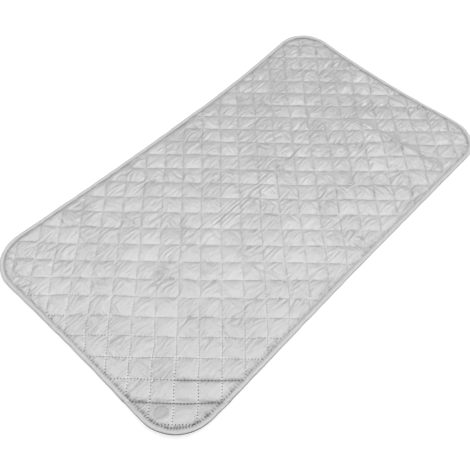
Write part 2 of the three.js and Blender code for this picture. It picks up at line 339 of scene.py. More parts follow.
def painted_seam_highlight(xy):
    """Painted highlight beside the seams, stronger towards the near left end."""
    places = quilt_places(xy)
    away = np.abs(places - np.round(places)) * QUILT_PITCH
    bands = bell(away, SEAM_HIGHLIGHT_REACH) @ np.array(SEAM_HIGHLIGHTS)
    near = smooth_step(-slope_along(xy), *SEAM_HIGHLIGHT_SLOPES)
    return bands * (SEAM_HIGHLIGHT_FAR + (1 - SEAM_HIGHLIGHT_FAR) * near)


def lie(xy):
    """How far each place moves as the whole pad lies: corners pulled and lifted, folds, slow waves."""
    move = np.zeros((len(xy), 3))
    level = np.ones(len(xy))
    for (side_x, side_y), pull in CORNER_MOVES:
        away = np.abs(xy[:, 0] - side_x * HALF_LENGTH) + np.abs(xy[:, 1] - side_y * HALF_WIDTH)
        bend = np.clip(1 - away / MOVE_REACH, 0, 1)
        move += (bend ** 2)[:, None] * np.array(pull)
        level *= 1 - bend
    waviness = SWELL_HEIGHT * level * waves(xy, 21, *SWELL_WAVES) ** 2
    move[:, 2] += waviness + folds(xy)
    return move


def quilt_places(xy):
    """Places along the two seam directions, in cells from a crossing."""
    across = np.linalg.inv(np.stack([ALONG_A, ALONG_B], -1) * CELL_SIDE)
    return (xy - QUILT_CROSSING) @ across.T


def quilt_dome(xy):
    """From 0 on a seam to 1 in the middle of a diamond."""
    share = np.abs(2 * (quilt_places(xy) % 1) - 1)
    return (1 - share[:, 0] ** LOFT_POWER) * (1 - share[:, 1] ** LOFT_POWER)


def slope_along(xy):
    """From about -1 at the near left corner to about 1 at the far right one."""
    return FAR_SHARES[0] * xy[:, 0] / HALF_LENGTH + FAR_SHARES[1] * xy[:, 1] / HALF_WIDTH


def puff(xy):
    """How full the wadding is: pressed flatter at the near left end."""
    return np.maximum(PUFF_MEAN + PUFF_SLOPE * slope_along(xy), PUFF_LEAST)


def seam_distance(xy):
    """Distance to the nearest quilting seam."""
    places = quilt_places(xy)
    return np.abs(places - np.round(places)).min(axis=1) * QUILT_PITCH


def doubled_areas(xy, faces):
    """Twice the area of each triangle, below zero where its points run clockwise."""
    a, b, c = (xy[faces[:, k]] for k in range(3))
    return (b - a)[:, 0] * (c - a)[:, 1] - (b - a)[:, 1] * (c - a)[:, 0]


def triangles_of(xy, rim):
    """Triangles that join the points inside the closed loop of rim's points."""
    corners = [Vector(point) for point in xy.tolist()]
    edges = [(int(a), int(b)) for a, b in zip(rim, np.roll(rim, -1))]
    _, _, faces, sources, _, _ = delaunay_2d_cdt(corners, edges, [], 1, SAME_PLACE)
    order = np.array([source[0] for source in sources])
    faces = order[np.array(faces)]
    return np.where(doubled_areas(xy, faces)[:, None] > 0, faces, faces[:, ::-1])


def place_on_edge(xy):
    """Place of the nearest point of the edge, as a share of the way round."""
    count = EDGE_COLUMNS * PLACES_PER_COLUMN
    points, _ = evenly_spaced(EDGE, count)
    tree = KDTree(count)
    for index, point in enumerate(points):
        tree.insert((point[0], point[1], 0), index)
    tree.balance()
    return np.array([tree.find((x, y, 0))[1] for x, y in xy]) / count


# Cover: points of the cloth
RIM_RINGS = (LAYER_INSET, 0.0050, 0.0072, 0.0087, 0.0096, 0.0107, 0.0121, 0.0139, 0.0160)
RIM_BAND = 0.0176
SEAM_CLEARANCE = 0.0013
SEAM_START_INSET = 0.0100
UNDERSIDE_STEP = 4
SEAM_HUG = 0.9
SEAM_HUG_FADE = 2.0
COVER_RISE_INSETS = (0.0085, 0.0170)
SEAM_RISE_INSETS = (0.0080, 0.0160)
CREASE_INSETS = (0.0085, 0.0105)
CREASE_ON_SEAM = 0.4
CRUMPLE_SHARES = (0.65, 0.35, 0.12)
CRUMPLE_WAVES = (0.05, 0.15)
CRUMPLE_LEAST = 0.1


def hugging(places):
    """Places in cells, drawn closer to the seams on both sides of them."""
    seam = np.round(places)
    away = 2 * (places - seam)
    share = np.abs(away)
    near = share * (1 - SEAM_HUG * (1 - share) * np.exp(-SEAM_HUG_FADE * share))
    return seam + np.sign(away) * near / 2


def grid_points(steps):
    """Points between the seams, and which of them the plainer underside takes."""
    reach = CELLS_EACH_WAY * steps
    ticks = np.arange(-reach, reach + 1)
    ticks = ticks[ticks % steps != 0]
    tick_a, tick_b = (values.ravel() for values in np.meshgrid(ticks, ticks, indexing="ij"))
    place_a, place_b = (hugging(tick / steps)[:, None] for tick in (tick_a, tick_b))
    xy = QUILT_CROSSING + CELL_SIDE * (place_a * ALONG_A + place_b * ALONG_B)
    coarse = (tick_a % UNDERSIDE_STEP == 0) & (tick_b % UNDERSIDE_STEP == 0)
    keep = (inset_of(xy) > RIM_BAND) & ~near_magnet(xy)
    return xy[keep], coarse[keep]


def seam_points(along, across, stitches, with_crossings):
    """Points along one family of seams, two to a stitch, and their numbers."""
    reach = CELLS_EACH_WAY * stitches * 2
    ticks = np.arange(-reach, reach + 1)
    if not with_crossings:
        ticks = ticks[ticks % (2 * stitches) != 0]
    lines = np.arange(-CELLS_EACH_WAY, CELLS_EACH_WAY + 1)
    line, tick = (values.ravel() for values in np.meshgrid(lines, ticks, indexing="ij"))
    place = (tick / (2 * stitches))[:, None]
    xy = QUILT_CROSSING + CELL_SIDE * (line[:, None] * across + place * along)
    keep = inset_of(xy) > SEAM_START_INSET
    return xy[keep], tick[keep]


def rim_points(columns):
    """Points in rings along the rim, and in rings over the magnets, clear of the seams."""
    points, inward = evenly_spaced(EDGE, columns)
    rings = np.vstack([points + inward * inset for inset in RIM_RINGS])
    clear = (seam_distance(rings) > SEAM_CLEARANCE) & ~near_magnet(rings)
    rings = rings[clear | (inset_of(rings) < SEAM_START_INSET)]
    imprints = imprint_points()
    clear = (seam_distance(imprints) > SEAM_CLEARANCE) & (inset_of(imprints) > SEAM_START_INSET)
    return np.vstack([rings, imprints[clear]])


def cover_points(steps, stitches):
    """Points of the quilted cloth: rings along its rim, then its seams, then a grid between them.

    Returns the places, which are on a seam, which are needle holes, which of them the underside takes,
    and the count of points on the outer edge, which come first.
    """
    columns = round(EDGE_COLUMNS * steps / STEPS_PER_CELL)
    rim = rim_points(columns)
    seam_a, tick_a = seam_points(ALONG_A, ALONG_B, stitches, True)
    seam_b, tick_b = seam_points(ALONG_B, ALONG_A, stitches, False)
    grid, coarse = grid_points(steps)
    xy = np.vstack([rim, seam_a, seam_b, grid])
    ticks = np.concatenate([np.ones(len(rim), int), tick_a, tick_b, np.ones(len(grid), int)])
    numbers = np.arange(len(xy))
    on_seam = (numbers >= len(rim)) & (numbers < len(xy) - len(grid))
    taken = (numbers < columns) | (numbers < len(rim)) & (numbers % UNDERSIDE_STEP == 0)
    taken |= on_seam & (ticks % UNDERSIDE_STEP == 0)
    taken[len(xy) - len(grid):] = coarse
    return xy, on_seam, on_seam & (ticks % 2 == 0), taken, columns


# Slack of the cloth between its seams, and the creases and gathers that lie in it
SLACK_ALONG = 0.009
SLACK_ACROSS = 0.026
SLACK_SPREAD = 0.00045
SLACK_WAVES = (0.03, 0.09, 60)
FUZZ = 0.0002
FOLD_CREASES = (18, 5, 12)
FOLD_SPREAD = 0.010
LOOSE_CREASES = 170
RIM_CREASES = 150
CREASE_BOW = 0.04
CREASE_WIDTHS = (0.0015, 0.0025)
FOLD_CREASE_WIDER = 2.2
FOLD_CREASE_TURN = 0.04
FOLD_CREASE_HALVES = (0.04, 0.11)
FOLD_CREASE_HEIGHTS = (0.0004, 0.0008)
LOOSE_CREASE_TURN = 0.3
LOOSE_CREASE_HALVES = (0.008, 0.03)
LOOSE_CREASE_HEIGHTS = (0.0001, 0.0004)
RIM_CREASE_TURN = 0.2
RIM_CREASE_HALF = 0.008
RIM_CREASE_MORE = 0.012
RIM_CREASE_HEIGHTS = (0.0003, 0.0008)
GATHER_HEIGHT = 0.0013
GATHER_REACH = 0.004
GATHER_BAND = 0.030
GATHER_START = (-0.002, 0.0015)
GATHER_MEAN = 0.3
GATHER_SPREAD = 0.45
GATHER_LIMITS = (0.2, 2)
GATHER_RIGHT = 0.7
GATHER_WAVES = (0.008, 0.030, 40)
GATHER_CORNER_REACH = 0.14
# Painted shade between the gathers beside the binding
RIM_SHADE_REACH = 0.0028
RIM_SHADE_INSETS = (0.008, 0.016)
RIM_SHADE_FAR = 0.28
# Painted shade that darkens the cover towards its near left end
CORNER_SHADE = 0.09
CORNER_SHADE_SLOPES = (0.1, 0.8)


def crease(xy, middle, turn, half, width, height):
    """One narrow ridge or furrow, a little bowed, that fades out towards its ends."""
    along, across = along_and_across(xy, middle, turn)
    across = across + CREASE_BOW * along * along / half
    return height * bell(across, width) * hump(along, half)


def creases(xy):
    """Fine creases: bundles along the folds, loose ones along the pad, and some from the rim inwards."""
    draw = np.random.default_rng(31)
    field = np.zeros(len(xy))

    def add_crease(middle, turn, half, height, wider=1.0):
        nonlocal field
        sign = draw.choice([-1, 1])
        field += crease(xy, middle, turn, half, wider * draw.uniform(*CREASE_WIDTHS), sign * height)

    for (middle, half, turn, *_), count in zip(FOLDS, FOLD_CREASES):
        ahead = np.array([math.cos(turn), math.sin(turn)])
        aside = np.array([-ahead[1], ahead[0]])
        for _ in range(count):
            place = np.array(middle) + ahead * draw.uniform(-half, half)
            place += aside * draw.normal(0, FOLD_SPREAD)
            half_crease = draw.uniform(*FOLD_CREASE_HALVES)
            add_crease(place, turn + draw.normal(0, FOLD_CREASE_TURN), half_crease,
                       draw.uniform(*FOLD_CREASE_HEIGHTS), FOLD_CREASE_WIDER)
    for _ in range(LOOSE_CREASES):
        place = draw.uniform((-HALF_LENGTH, -HALF_WIDTH), (HALF_LENGTH, HALF_WIDTH))
        add_crease(place, draw.normal(0, LOOSE_CREASE_TURN), draw.uniform(*LOOSE_CREASE_HALVES),
                   draw.uniform(*LOOSE_CREASE_HEIGHTS))
    for index in draw.integers(0, EDGE_COLUMNS, RIM_CREASES):
        place = EDGE_POINTS[index] + EDGE_INWARD[index] * BINDING_WIDTH
        turn = math.atan2(EDGE_INWARD[index, 1], EDGE_INWARD[index, 0]) + draw.normal(0, RIM_CREASE_TURN)
        add_crease(place, turn, RIM_CREASE_HALF + draw.exponential(RIM_CREASE_MORE),
                   draw.uniform(*RIM_CREASE_HEIGHTS))
    return field


def stitch_wave(share):
    """1 at each needle hole of the binding's row, and -1 between them."""
    return np.cos(2 * math.pi * share * BINDING_STITCHES)


def gathers(xy, depth):
    """Small gathers between the binding's stitches, held down where the needle went through."""
    near_rim = depth < GATHER_BAND
    share = place_on_edge(xy[near_rim])
    uneven = np.clip(1 + GATHER_SPREAD * edge_waves(share, 61, *GATHER_WAVES), *GATHER_LIMITS)
    wave = GATHER_MEAN - (1 - GATHER_MEAN) * stitch_wave(share)
    inside = depth[near_rim] - BINDING_WIDTH
    fade = np.exp(-np.maximum(inside, 0) / GATHER_REACH) * smooth_step(inside, *GATHER_START)
    field = np.zeros(len(xy))
    drawn = 1 + near_corner(xy[near_rim], -1) + GATHER_RIGHT * near_corner(xy[near_rim], 1)
    field[near_rim] = GATHER_HEIGHT * drawn * uneven * wave * fade
    return field


def near_corner(xy, side):
    """1 at the near corner on the left, -1, or the right, 1, falling to 0 away from it."""
    return bell(distance_to(xy, (side * HALF_LENGTH, -HALF_WIDTH)), GATHER_CORNER_REACH)


def rim_shade(xy, depth):
    """Painted shade in the gathers beside the binding, most of all at the near left corner."""
    near_rim = (depth > RIM_SHADE_INSETS[0]) & (depth < RIM_SHADE_INSETS[1])
    share = place_on_edge(xy[near_rim])
    wave = 0.5 + 0.5 * stitch_wave(share)
    fade = np.exp(-np.maximum(depth[near_rim] - BINDING_WIDTH, 0) / RIM_SHADE_REACH)
    field = np.zeros(len(xy))
    corner = near_corner(xy[near_rim], -1)
    field[near_rim] = wave * fade * (RIM_SHADE_FAR + (1 - RIM_SHADE_FAR) * corner)
    return field


def loose_layout(xy):
    """Where the points of the cloth lie before it is sewn down: slack, and a little uneven."""
    spread = np.stack([waves(xy, 41, *SLACK_WAVES), waves(xy, 42, *SLACK_WAVES)], -1)
    return xy * [1 + SLACK_ALONG, 1 + SLACK_ACROSS] + SLACK_SPREAD * spread


def soft_limit(height):
    """Wadding gives way: heights over the limit are pressed together."""
    over = np.maximum(height - LOFT_SOFT_LIMIT, 0)
    return np.minimum(height, LOFT_SOFT_LIMIT) + over / (1 + over / LOFT_SOFTNESS)


# Cloth simulation, worked in hundredths of a metre so that its forces suit threads and wadding
SIM_SCALE = 100.0
SIM_FRAMES = 20
SIM_WADDING_HOLD = 0.14
SIM_SEAM_HOLD = 0.6
SIM_SEAM_REACH = 0.0015
SIM_CLOTH = {
    "quality": 4,
    "mass": 0.3,
    "tension_stiffness": 60,
    "compression_stiffness": 60,
    "shear_stiffness": 20,
    "bending_stiffness": 0.4,
    "tension_damping": 5,
    "compression_damping": 5,
    "shear_damping": 5,
    "bending_damping": 0.5,
    "air_damping": 1,
    "vertex_group_mass": "pins",
    "pin_stiffness": 1,
    "use_pressure": True,
    "uniform_pressure_force": 0.3,
}


def sewn_cloth(loose, sewn, faces, pinned, by_seam):
    """Where cloth that is slack between its seams comes to rest as it buckles over the wadding."""
    mesh = bpy.data.meshes.new("cloth_at_work")
    mesh.from_pydata((sewn * SIM_SCALE).tolist(), [], faces.tolist())
    sheet = bpy.data.objects.new("cloth_at_work", mesh)
    scene = bpy.context.scene
    scene.collection.objects.link(sheet)
    pins = sheet.vertex_groups.new(name="pins")
    pins.add(np.nonzero(pinned)[0].tolist(), 1.0, "REPLACE")
    pins.add(np.nonzero(~pinned & ~by_seam)[0].tolist(), SIM_WADDING_HOLD, "REPLACE")
    pins.add(np.nonzero(~pinned & by_seam)[0].tolist(), SIM_SEAM_HOLD, "REPLACE")
    sheet.shape_key_add(name="sewn")
    key = sheet.shape_key_add(name="loose")
    key.data.foreach_set("co", (loose * SIM_SCALE).astype(np.float32).ravel())
    cloth = sheet.modifiers.new("cloth", "CLOTH")
    set_cloth(cloth)
    cloth.settings.rest_shape_key = key
    for number in range(1, SIM_FRAMES + 1):
        scene.frame_set(number)
    rested = sheet.evaluated_get(bpy.context.evaluated_depsgraph_get()).to_mesh()
    places = np.zeros(len(rested.vertices) * 3, np.float32)
    rested.vertices.foreach_get("co", places)
    bpy.data.objects.remove(sheet)
    bpy.data.meshes.remove(mesh)
    scene.frame_set(1)
    return places.reshape(-1, 3).astype(float) / SIM_SCALE


def set_cloth(cloth):
    """Coated cotton pressed up by wadding, with no weight of its own."""
    for name, value in SIM_CLOTH.items():
        setattr(cloth.settings, name, value)
    cloth.settings.effector_weights.gravity = 0
    cloth.collision_settings.use_collision = False
    cloth.collision_settings.use_self_collision = False
    cloth.point_cache.frame_start = 1
    cloth.point_cache.frame_end = SIM_FRAMES


def lowest_near(height, faces):
    """The lowest height among each point and its neighbours."""
    lowest = height.copy()
    for first, second in ((0, 1), (1, 2), (2, 0)):
        np.minimum.at(lowest, faces[:, first], height[faces[:, second]])
        np.minimum.at(lowest, faces[:, second], height[faces[:, first]])
    return lowest


def magnet_places():
    """Middle of each magnet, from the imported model."""
    boxes = [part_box(node) for node in MAGNET_NODES]
    return [(np.array(low) + np.array(high)) / 2 for low, high in boxes]


def over_magnets(xy, height, on_seam):
    """Presses the flat round imprint of each magnet into the cloth between the seams."""
    for middle, deep in zip(magnet_places(), IMPRINT_FURROWS):
        away = distance_to(xy, middle)
        hold = 1 - smooth_step(away, IMPRINT_RADIUS, IMPRINT_RADIUS + IMPRINT_SKIRT)
        furrow = deep * bell(away - IMPRINT_RADIUS - IMPRINT_SOFT, FURROW_REACH)
        pressed = height + hold * (SEAM_TOP + IMPRINT_HEIGHT - height) - furrow
        height = np.where(on_seam, height, pressed)
    return height


def imprint_shade(xy):
    """How much painted shade darkens the cloth over each magnet."""
    shade = np.zeros(len(xy))
    for middle, depth in zip(magnet_places(), IMPRINT_SHADES):
        away = distance_to(xy, middle)
        edge = smooth_step(away, IMPRINT_RADIUS - IMPRINT_SOFT, IMPRINT_RADIUS + IMPRINT_SOFT)
        shade += depth * (1 - edge)
    return shade


def imprint_points():
    """Rings of points over each magnet."""
    rings = []
    for middle in magnet_places():
        for radius in IMPRINT_RINGS:
            count = round(2 * math.pi * radius / IMPRINT_STEP)
            rings.append(middle[:2] + radius * circle(count))
    return np.vstack(rings)


def near_magnet(xy):
    """Whether places lie among the rings of points over a magnet."""
    reach = IMPRINT_RINGS[-1] + 0.5 * IMPRINT_STEP
    return np.any([distance_to(xy, middle) < reach for middle in magnet_places()], axis=0)


def cover_shade(xy, depth):
    """Painted shade in the cloth's imprints, gathers and folds and over its near left end, less a painted
    highlight along the seams.
    """
    folded = fold_shadow(xy)
    shade = np.maximum.reduce([imprint_shade(xy), rim_shade(xy, depth), folded])
    # painted shade over the near left end
    shade += CORNER_SHADE * smooth_step(-slope_along(xy), *CORNER_SHADE_SLOPES)
    return shade - painted_seam_highlight(xy) * smooth_step(depth, *SEAM_HIGHLIGHT_INSETS) * (1 - 2 * folded)


def cover_surface():
    """The cover's upper side: its points, its triangles, the painted shade and highlight at each point and
    its place among the seams, the area of the cut cloth, and what its underside needs."""
    flat, on_seam, needle, taken, columns = cover_points(STEPS_PER_CELL, STITCHES_PER_CELL)
    faces = triangles_of(flat, np.arange(columns))
    xy = flat + drift(flat)
    depth = inset_of(flat)
    under_binding = depth < COVER_RISE_INSETS[0]
    rise = smooth_step(depth, *COVER_RISE_INSETS)
    base = RIM_TOP + (SEAM_TOP - RIM_TOP) * smooth_step(depth, *SEAM_RISE_INSETS)
    pinned = on_seam | under_binding
    draw = np.random.default_rng(51)
    fuzz = FUZZ * draw.standard_normal(len(flat))
    crown = np.where(pinned, 0, (LOFT * puff(flat) * quilt_dome(flat) + fuzz) * rise)
    sewn = np.column_stack([xy, base + crown])
    loose = np.column_stack([loose_layout(xy), base + crown])
    by_seam = seam_distance(flat) < SIM_SEAM_REACH
    rested = sewn_cloth(loose, sewn, faces, pinned, by_seam)
    height = base + soft_limit(rested[:, 2] - base)
    height = over_magnets(flat, height, on_seam)
    held_down = np.where(on_seam, CREASE_ON_SEAM, 1) * smooth_step(depth, *CREASE_INSETS)
    height += held_down * creases(flat) + gathers(flat, depth)
    height -= SEAM_DIP * on_seam + NEEDLE_DIP * needle
    points = np.column_stack([rested[:, :2], height])
    points[under_binding, :2] = flat[under_binding]
    cut_area = np.abs(doubled_areas(loose[:, :2], faces)).sum() / 2
    return points, faces, (cover_shade(flat, depth), quilt_places(flat)), cut_area, (taken, columns)


def lifted(points):
    """Points moved with the whole pad."""
    return points + lie(points[:, :2])


def add_mesh(name, points, faces, material, node=None, smooth=True):
    """A piece that lies and rides with the pad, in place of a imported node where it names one."""
    mesh = bpy.data.meshes.new(name)
    mesh.from_pydata(lifted(points).tolist(), [], faces if isinstance(faces, list) else faces.tolist())
    mesh.update()
    if smooth:
        mesh.shade_smooth()
    mesh.materials.append(material)
    piece = bpy.data.objects.new(name, mesh)
    bpy.context.scene.collection.objects.link(piece)
    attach(piece, "root")
    if node:
        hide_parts(node)
    return piece


def mark(piece, name, values):
    """Keeps a value for each point of a piece, for its material."""
    attribute = piece.data.attributes.new(name, "FLOAT", "POINT")
    attribute.data.foreach_set("value", values.astype(np.float32))


def crumple(xy):
    """How much the cloth is crinkled: least at the near left end, most at the far right one."""
    mean, slope, spread = CRUMPLE_SHARES
    field = mean + slope * slope_along(xy) + spread * waves(xy, 22, *CRUMPLE_WAVES)
    return np.clip(field, CRUMPLE_LEAST, 1)


def add_cover(surface, material):
    """The quilted cloth: its worked upper side, and a plainer underside that meets it at the rim."""
    points, faces, (painted_shading, quilt), cut_area, (taken, columns) = surface
    low = points[:, 2]
    for _ in range(UNDERSIDE_STEP):
        low = lowest_near(low, faces)
    low = low - COVER_CLOTH
    chosen = np.nonzero(taken)[0]
    under_faces = triangles_of(points[chosen, :2], np.arange(columns))
    inner = chosen[columns:]
    new_index = np.concatenate([np.arange(columns), len(points) + np.arange(len(inner))])
    under = np.column_stack([points[inner, :2], low[inner]])
    all_points = np.vstack([points, under])
    all_faces = np.vstack([faces, new_index[under_faces][:, ::-1]])
    cover = add_mesh("quilted_cover", all_points, all_faces, material, "top_cover")
    mark(cover, "painted_shading", np.concatenate([painted_shading, np.zeros(len(under))]))
    for axis, name in enumerate(("quilt_a", "quilt_b")):
        mark(cover, name, np.concatenate([quilt[:, axis], quilt[inner, axis]]) * CELL_SIDE)
    mark(cover, "crumple", crumple(all_points[:, :2]))
    mark(cover, "creased_along", fold_marks(all_points[:, :2], 0.0))
    mark(cover, "creased_across", fold_marks(all_points[:, :2], math.pi / 2))


# Backing and wadding share a plainer grid
BACKING_STEPS = 8
BACKING_STITCHES = 4
BACKING_WAVE = 0.00012
BACKING_WAVES = (0.012, 0.05, 40)
BACKING_RIM_INSETS = (0.0095, 0.0150)
WADDING_COLUMNS = 6
WADDING_CLEARANCE = 0.002


def backing_height(xy):
    """Height of the backing's lower side: flat on the floor under each diamond, drawn up at the seams."""
    depth = inset_of(xy)
    drawn = BACKING_SEAM_LIFT * (1 - quilt_dome(xy)) ** 3
    slow = BACKING_WAVE * waves(xy, 71, *BACKING_WAVES)
    inner = np.maximum(drawn + slow * quilt_dome(xy), 0)
    return inner + (BACKING_RIM_LIFT - inner) * (1 - smooth_step(depth, *BACKING_RIM_INSETS))


def two_sided(places, low, high, faces, columns):
    """A closed sheet between two heights, whose first columns points are its rim."""
    count = len(places)
    rim = np.arange(columns)
    ahead = np.roll(rim, -1)
    walls = np.vstack([
        np.column_stack([rim, ahead, ahead + count]),
        np.column_stack([rim, ahead + count, rim + count]),
    ])
    points = np.vstack([np.column_stack([places, height]) for height in (low, high)])
    return points, np.vstack([faces[:, ::-1], faces + count, walls])


def add_backing(material):
    """The plain cloth underneath, quilted with the rest."""
    xy, _, _, _, columns = cover_points(BACKING_STEPS, BACKING_STITCHES)
    faces = triangles_of(xy, np.arange(columns))
    low = backing_height(xy)
    points, faces = two_sided(xy + drift(xy), low, low + BACKING_CLOTH, faces, columns)
    backing = add_mesh("backing", points, faces, material, "backing_cloth")


def add_wadding(surface, material):
    """The fibre sheet that fills the diamonds, with a hollow over each magnet."""
    points, faces, _, _, _ = surface
    low_cover = lowest_near(lowest_near(points[:, 2], faces), faces) - COVER_CLOTH
    ceiling = BVHTree.FromPolygons(np.column_stack([points[:, :2], low_cover]).tolist(), faces.tolist())
    columns = round(EDGE_LENGTH / QUILT_PITCH * WADDING_COLUMNS)
    rim, inward = evenly_spaced(EDGE, columns)
    xy = cover_points(BACKING_STEPS, BACKING_STITCHES)[0]
    inner = xy[inset_of(xy) > WADDING_INSET + WADDING_CLEARANCE]
    xy = np.vstack([rim + inward * WADDING_INSET, inner])
    faces = triangles_of(xy, np.arange(columns))
    places = xy + drift(xy)
    floor = backing_height(xy) + BACKING_CLOTH + LAYER_GAP
    for node, middle in zip(MAGNET_NODES, magnet_places()):
        away = distance_to(xy, middle)
        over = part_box(node)[1][2] + LAYER_GAP
        floor = np.where(away < IMPRINT_RADIUS + IMPRINT_SKIRT, np.maximum(floor, over), floor)
    top = np.maximum(heights_on(ceiling, places) - LAYER_GAP, floor + THINNEST_WADDING)
    points, faces = two_sided(places, floor, top, faces, columns)
    wadding = add_mesh("wadding_fill", points, faces, material, "wadding")


def heights_on(surface, xy):
    """Height of a surface under each of these places."""
    down = Vector((0, 0, -1))
    hits = [surface.ray_cast(Vector((x, y, 1)), down)[0] for x, y in xy]
    return np.array([hit.z if hit else SEAM_TOP for hit in hits])


def tube_faces(tubes, rings, sides):
    """Faces of tubes whose points run ring by ring: their walls, and a cap at each end."""
    first = (np.arange(tubes) * rings * sides)[:, None, None]
    row = (np.arange(rings - 1) * sides)[:, None]
    spot = np.arange(sides)
    after = (spot + 1) % sides
    walls = np.stack([first + row + spot, first + row + after,
                      first + row + after + sides, first + row + spot + sides], -1)
    caps = np.stack([first[:, 0] + spot[::-1], first[:, 0] + (rings - 1) * sides + spot], 1)
    return walls.reshape(-1, 4).tolist() + caps.reshape(-1, sides).tolist()


def thread_tubes(paths):
    """Four-sided tubes along many short paths at once, narrower at their ends."""
    stitches, rings, _ = paths.shape
    forward = np.gradient(paths, axis=1)
    forward /= np.linalg.norm(forward, axis=2)[..., None]
    side = np.cross(forward, np.array([0, 0, 1.0]))
    side /= np.linalg.norm(side, axis=2)[..., None]
    over = np.cross(side, forward)
    aside, above = circle(THREAD_SIDES).T
    radius = THREAD_RADIUS * np.where((np.arange(rings) % (rings - 1)) == 0, THREAD_TIP, 1)
    ring = side[:, :, None] * aside[:, None] + over[:, :, None] * above[:, None]
    points = paths[:, :, None] + ring * radius[:, None, None]
    return points.reshape(-1, 3), tube_faces(stitches, rings, THREAD_SIDES)


def seam_stitches(along, across):
    """Start and end of each stitch of one family of seams."""
    lines = np.arange(-CELLS_EACH_WAY, CELLS_EACH_WAY + 1)[:, None, None]
    reach = CELLS_EACH_WAY * STITCHES_PER_CELL
    holes = np.arange(-reach, reach)[None, :, None]
    start = (QUILT_CROSSING + lines * CELL_SIDE * across + holes * STITCH * along).reshape(-1, 2)
    end = start + STITCH * along
    inside = (inset_of(start) > THREAD_END_INSET) & (inset_of(end) > THREAD_END_INSET)
    return start[inside], end[inside]


def stitch_paths(start, end):
    """Places along each stitch on the straight seams, and where the seams' wander brings them."""
    share = THREAD_RINGS[:, None]
    straight = start[:, None] * (1 - share) + end[:, None] * share
    return straight, straight + drift(straight.reshape(-1, 2)).reshape(straight.shape)


def add_threads(name, paths, material, node=None):
    """Stitches along many short paths."""
    points, faces = thread_tubes(paths)
    return add_mesh(name, points, faces, material, node)


def add_quilting(name, along, across, cover_tree, material):
    """One family of quilting seams: the stitches on the cover, and the bobbin's on the backing."""
    straight, places = stitch_paths(*seam_stitches(along, across))
    shape = places.shape[:2]
    node = f"quilting_thread_{name}"
    top = heights_on(cover_tree, places.reshape(-1, 2)).reshape(shape) + THREAD_ARCH
    stitches = add_threads(f"quilting_stitches_{name}", np.dstack([places, top]), material, node)
    # painted shadow of the corner's fold seams, on the threads too
    mark(stitches, "painted_shading", np.repeat(fold_shadow(straight.reshape(-1, 2)), THREAD_SIDES))
    low = backing_height(straight.reshape(-1, 2)).reshape(shape) - THREAD_ARCH
    add_threads(f"bobbin_stitches_{name}", np.dstack([places, low]), material)


# Binding: folded tape, drawn down along its stitches and round at the pad's edge
GROOVE_POINT = 3
# Painted shade in the groove at the binding's stitches, and on the lower half of its nose
GROOVE_SHADE = 0.55
NOSE_SHADE = 0.3
NOSE_POINTS = slice(11, 19)
UNDER_GROOVE = 0.0008
NOSE_OVER = 0.0034
NOSE_UNDER = 0.0022
NOSE_STEPS = 7
# Share of the groove's painted shade that the near sides keep, and the nose's added painted shade at the
# near left corner
GROOVE_NEAR = 0.3
NOSE_CORNER = 0.7
DRAWN_REACH = 0.0018
NEEDLE_DRAW = 0.0004
UNDER_ARCH = 0.4
TAPE_MIDDLE = 0.0045
TAPE_NOSE = (0.001, 0.004)
FACING_UP = (0.45, 0.65)

# Section of the tape beside its nose, over and under the pad: inset past the stitches, and height
TAPE_OVER = ((0.0009, 0.00305), (0.0006, 0.00335), (0.0004, 0.00295), (0.0, 0.00265), (-0.0004, 0.00295),
             (-0.0012, 0.00385), (-0.0023, 0.00425))
TAPE_UNDER = ((-0.0010, 0.0), (0.0, UNDER_GROOVE), (0.0006, 0.0), (0.0009, 0.0))

# Unevenness of the tape: height, seed, shortest and longest wave, and number of waves
TAPE_WANDER = (0.00030, 81, 0.015, 0.06, 24)
TAPE_RUMPLE = (0.00012, 82, 0.006, 0.012, 40)
TAPE_SWELL = (0.00020, 83, 0.007, 0.03, 40)
TAPE_EDGE = (0.00020, 84, 0.02, 0.08, 24)


def quarter_round(reach, turns):
    """Part of the binding's nose, as inset from the edge and height."""
    middle = BINDING_TOP / 2
    return [(reach * (1 - math.cos(turn)), middle * (1 + math.sin(turn))) for turn in turns]


def binding_section():
    """The folded tape's section, as inset from the edge and height, and how much it faces up."""
    upper, lower = ([(BINDING_STITCH_INSET + past, height) for past, height in side]
                    for side in (TAPE_OVER, TAPE_UNDER))
    over = quarter_round(NOSE_OVER, np.linspace(math.pi / 2, 0, NOSE_STEPS))
    under = quarter_round(NOSE_UNDER, np.linspace(0, -math.pi / 2, NOSE_STEPS)[1:])
    outside = np.array(upper + over + under + lower)
    forward = np.gradient(outside, axis=0)
    forward /= np.linalg.norm(forward, axis=1)[:, None]
    inward = np.stack([-forward[:, 1], forward[:, 0]], -1)
    section = np.vstack([outside, (outside + BINDING_CLOTH * inward)[::-1]])
    return section, smooth_step(section[:, 1] / BINDING_TOP, *FACING_UP)


def tape_waves(share, height, *spread):
    """One kind of unevenness, round the edge."""
    return height * edge_waves(share, *spread)[:, None]


def binding_rings():
    """The section carried round the edge, with the tape's unevenness."""
    section, faces_up = binding_section()
    share = np.arange(EDGE_COLUMNS) / EDGE_COLUMNS
    inset = np.repeat(section[None, :, 0], EDGE_COLUMNS, axis=0)
    height = np.repeat(section[None, :, 1], EDGE_COLUMNS, axis=0)
    inner_part = smooth_step(section[:, 0], TAPE_MIDDLE, BINDING_WIDTH)
    inset += (tape_waves(share, *TAPE_WANDER) + tape_waves(share, *TAPE_RUMPLE)) * inner_part
    drawn = bell(section[:, 0] - BINDING_STITCH_INSET, DRAWN_REACH) * faces_up
    needle = 0.5 + 0.5 * stitch_wave(share)
    height -= NEEDLE_DRAW * needle[:, None] * drawn
    height += tape_waves(share, *TAPE_SWELL) * faces_up * smooth_step(section[:, 0], *TAPE_NOSE)
    outer_part = 1 - smooth_step(section[:, 0], 0, TAPE_NOSE[1])
    inset += tape_waves(share, *TAPE_EDGE) * outer_part
    return np.maximum(inset, 0), height


